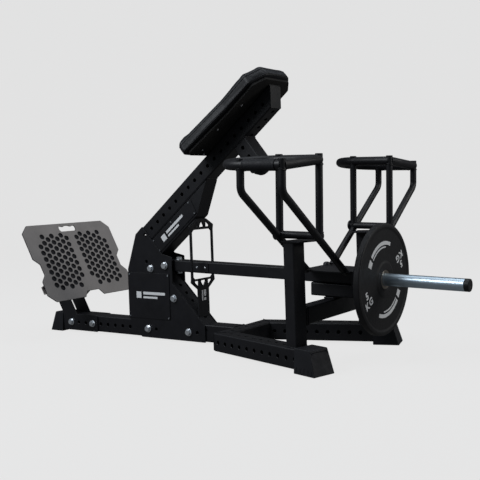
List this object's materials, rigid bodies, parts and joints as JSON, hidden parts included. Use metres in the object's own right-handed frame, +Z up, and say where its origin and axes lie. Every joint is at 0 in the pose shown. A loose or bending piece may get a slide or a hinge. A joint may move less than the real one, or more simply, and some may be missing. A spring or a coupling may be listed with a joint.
{
  "type": "hip thrust machine",
  "caption": "Plate-loaded pivoting lever machine with an inclined chest pad on a box-section arm, a footplate, twin handle cages and a loading sleeve with a bumper plate.",
  "frame": {"origin": "on the floor, under the centre of the overall bounding box, on the machine's plane of symmetry", "axes": "+X along the machine from the footplate to the loading sleeve, +Y to the left of a user who stands on the footplate facing the pad, +Z up"},
  "size_m": [2.2772, 1.1282, 1.2232],
  "materials": {
    "black_coat": "fine-texture satin black powder coat",
    "plate_coat": "satin black powder coat on laser-cut plate",
    "black_rubber": "matt moulded black rubber",
    "pad_vinyl": "black grained vinyl, low sheen",
    "pad_board": "black-stained plywood",
    "zinc_steel": "bright zinc plate",
    "sleeve_steel": "satin bluish plated steel",
    "grey_sheet": "warm grey fine-texture powder coat",
    "black_plastic": "matt moulded plastic",
    "bush_bronze": "sintered bronze",
    "plate_rubber": "moulded black rubber, light sheen"
  },
  "bodies": {
    "frame": {"spine_beam": "black_coat", "crossmember": "black_coat", "front_foot": "black_rubber", "cross_beam": "black_coat", "lever_stop_pad": "black_rubber", "main_arm": "black_coat", "arm_end_cap": "black_plastic", "tower_post": "black_coat", "arm_doubler": "black_coat", "brace_tube": "black_coat", "bolt_upper": "zinc_steel", "bolt_brace": "zinc_steel", "bolt_base_front": "zinc_steel", "bolt_base_rear": "zinc_steel", "pivot_axle": "zinc_steel", "guide_post": "plate_coat", "stop_bracket": "black_coat", "upper_bumper": "black_rubber", "pad_board": "pad_board", "chest_pad": "pad_vinyl", "foot_plate": "grey_sheet", "foot_mat_left": "black_rubber", "foot_mat_right": "black_rubber", "foot_channel_lower": "grey_sheet", "foot_channel_upper": "grey_sheet", "bolt_bracket_front": "zinc_steel", "bolt_bracket_rear": "zinc_steel", "leg_right": "black_coat", "leg_left": "black_coat", "rear_foot_right": "black_rubber", "rear_foot_left": "black_rubber", "column_right": "black_coat", "column_left": "black_coat", "rest_plate_right": "black_coat", "rest_plate_left": "black_coat", "gusset_right": "plate_coat", "gusset_left": "plate_coat", "cover_plate_right": "plate_coat", "cover_plate_left": "plate_coat", "foot_bracket_right": "plate_coat", "foot_bracket_left": "plate_coat"},
    "lever": {"lever_knuckle": "plate_coat", "lever_tube": "black_coat", "knuckle_bolt": "zinc_steel", "lever_top_plate": "plate_coat", "lever_box": "black_coat", "lever_flange": "plate_coat", "weight_sleeve": "sleeve_steel", "sleeve_cap": "black_plastic", "pivot_bush_right": "bush_bronze", "pivot_bush_left": "bush_bronze", "guide_plate_right": "plate_coat", "guide_plate_left": "plate_coat", "handle_cage_right": "black_coat", "handle_cage_left": "black_coat", "hand_grip_right": "black_rubber", "hand_grip_left": "black_rubber"},
    "plate": {"weight_plate": "plate_rubber", "plate_hub": "zinc_steel"}
  },
  "joints": [
    {"name": "lever_pivot", "type": "hinge", "parent": "frame", "child": "lever", "pos_m": [-0.34455, 0, 0.355], "axis": [0, -1, 0], "range_deg": [0, 35.5]},
    {"name": "plate_slide", "type": "slide", "parent": "lever", "child": "plate", "axis": [0.9996, 0, -0.0267], "range_m": [0, 0.3]}
  ]
}
